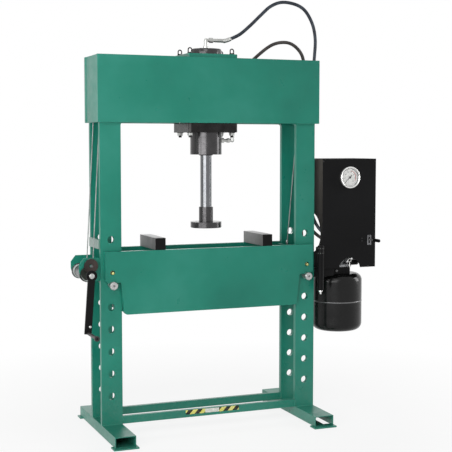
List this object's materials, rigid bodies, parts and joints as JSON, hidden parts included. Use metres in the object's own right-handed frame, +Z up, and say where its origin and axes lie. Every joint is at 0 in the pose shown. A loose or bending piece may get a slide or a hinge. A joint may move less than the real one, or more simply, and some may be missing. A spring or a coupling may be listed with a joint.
{
  "type": "shop press",
  "caption": "H-frame hydraulic shop press with a pinned table lifted by a hand winch, hanging ram, clamp plate and side power unit.",
  "frame": {"origin": "centre of the bounding box at the underside of the foot pads", "axes": "+X to the power unit, -Y to the front with the crank, gauge and lever, +Z up"},
  "size_m": [1.675, 0.734, 2.2721],
  "materials": {
    "green_paint": "gloss enamel, green",
    "black_paint": "satin black enamel",
    "gloss_black": "gloss black enamel",
    "bare_steel": "turned or ground steel",
    "dark_steel": "oiled dark steel",
    "chrome_rod": "hard chrome",
    "zinc": "zinc plated",
    "yellow_zinc": "yellow passivated zinc",
    "wire_rope": "galvanised strand",
    "grip_steel": "dull steel",
    "motor_alu": "cast aluminium",
    "dial_white": "printed dial",
    "glass": "clear",
    "hose_black": "rubber hose, dark blue-black",
    "hose_grey": "rubber hose, brown-grey",
    "block_steel": "oiled forged block"
  },
  "bodies": {
    "frame": {"column_bar_left_front": "green_paint", "column_bar_left_rear": "green_paint", "column_bar_right_front": "green_paint", "column_bar_right_rear": "green_paint", "beam_front_plate": "green_paint", "beam_rear_plate": "green_paint", "beam_end_plates": "green_paint", "feet": "green_paint", "foot_pads": "green_paint", "stretchers": "green_paint", "left_tie_plate": "green_paint", "cylinder_barrel": "dark_steel", "cylinder_cap": "dark_steel", "cylinder_flange": "dark_steel", "clamp_plate": "green_paint", "clamp_bolts": "zinc", "eye_nuts": "dark_steel", "cylinder_gland": "dark_steel", "hose_elbows": "zinc", "winch_plates": "green_paint", "rope_runs": "wire_rope", "table_rope_left": "wire_rope", "table_rope_right": "wire_rope", "pulley_axles": "bare_steel", "unit_cover": "black_paint", "unit_brackets": "green_paint", "motor": "motor_alu", "valve_block": "black_paint", "tank": "gloss_black", "pump": "bare_steel", "control_valve": "bare_steel", "gauge_case": "bare_steel", "gauge_dial": "dial_white", "gauge_glass": "glass", "filter": "black_paint", "hose_upper": "hose_black", "hose_lower": "hose_grey"},
    "ram": {"piston": "bare_steel", "rod": "chrome_rod", "press_nose": "bare_steel", "press_disc": "bare_steel"},
    "table": {"table_front_plate": "green_paint", "table_rear_plate": "green_paint", "table_cross_plates": "green_paint", "guide_screws": "yellow_zinc", "press_block_left": "block_steel", "press_block_right": "block_steel"},
    "left_pin": {"pin_left": "bare_steel"},
    "right_pin": {"pin_right": "bare_steel"},
    "drum": {"winch_shaft": "bare_steel", "winch_drum": "bare_steel", "wound_rope": "wire_rope", "shaft_pinion": "dark_steel", "crank_arm": "black_paint"},
    "grip": {"crank_grip": "grip_steel"},
    "brake": {"brake_gear": "dark_steel"},
    "left_sheaves": {"left_pulleys": "bare_steel"},
    "right_sheave": {"right_pulley": "bare_steel"},
    "lever": {"valve_lever": "black_paint"},
    "pointer": {"gauge_pointer": "black_paint"}
  },
  "joints": [
    {"name": "ram_slide", "type": "slide", "parent": "frame", "child": "ram", "axis": [0, 0, 1], "range_m": [-0.025, 0.27]},
    {"name": "table_slide", "type": "slide", "parent": "frame", "child": "table", "axis": [0, 0, 1], "range_m": [0, 0.23], "deforming": ["table_rope_left", "table_rope_right"]},
    {"name": "left_pin_slide", "type": "slide", "parent": "frame", "child": "left_pin", "axis": [0, -1, 0], "range_m": [0, 0.3]},
    {"name": "right_pin_slide", "type": "slide", "parent": "frame", "child": "right_pin", "axis": [0, -1, 0], "range_m": [0, 0.3]},
    {"name": "drum_spin", "type": "hinge", "parent": "frame", "child": "drum", "pos_m": [-0.7945, 0, 0.843], "axis": [0, 1, 0], "range_deg": [0, 400]},
    {"name": "grip_spin", "type": "hinge", "parent": "drum", "child": "grip", "pos_m": [-0.81545, -0.26, 0.55777], "axis": [0, 1, 0], "continuous": true},
    {"name": "brake_spin", "type": "hinge", "parent": "frame", "child": "brake", "pos_m": [-0.77881, -0.1, 0.88518], "axis": [0, 1, 0], "range_deg": [-100, 0]},
    {"name": "left_sheave_spin", "type": "hinge", "parent": "frame", "child": "left_sheaves", "pos_m": [-0.6825, 0, 1.7], "axis": [0, 1, 0], "range_deg": [-440, 0]},
    {"name": "right_sheave_spin", "type": "hinge", "parent": "frame", "child": "right_sheave", "pos_m": [0.4235, 0.06, 1.7], "axis": [0, 1, 0], "range_deg": [-440, 0]},
    {"name": "lever_tilt", "type": "hinge", "parent": "frame", "child": "lever", "pos_m": [0.7985, -0.112, 0.971], "axis": [1, 0, 0], "range_deg": [-18, 18]},
    {"name": "pointer_turn", "type": "hinge", "parent": "frame", "child": "pointer", "pos_m": [0.672, -0.13, 1.316], "axis": [0, 1, 0], "range_deg": [0, 270], "stiffness_Nm_per_rad": 0.004}
  ],
  "couplings": [
    {"joint": "drum_spin", "follows": "table_slide", "rad_per_m": 30.303},
    {"joint": "brake_spin", "follows": "table_slide", "rad_per_m": -7.5758},
    {"joint": "left_sheave_spin", "follows": "table_slide", "rad_per_m": -33.333},
    {"joint": "right_sheave_spin", "follows": "table_slide", "rad_per_m": -33.333}
  ]
}
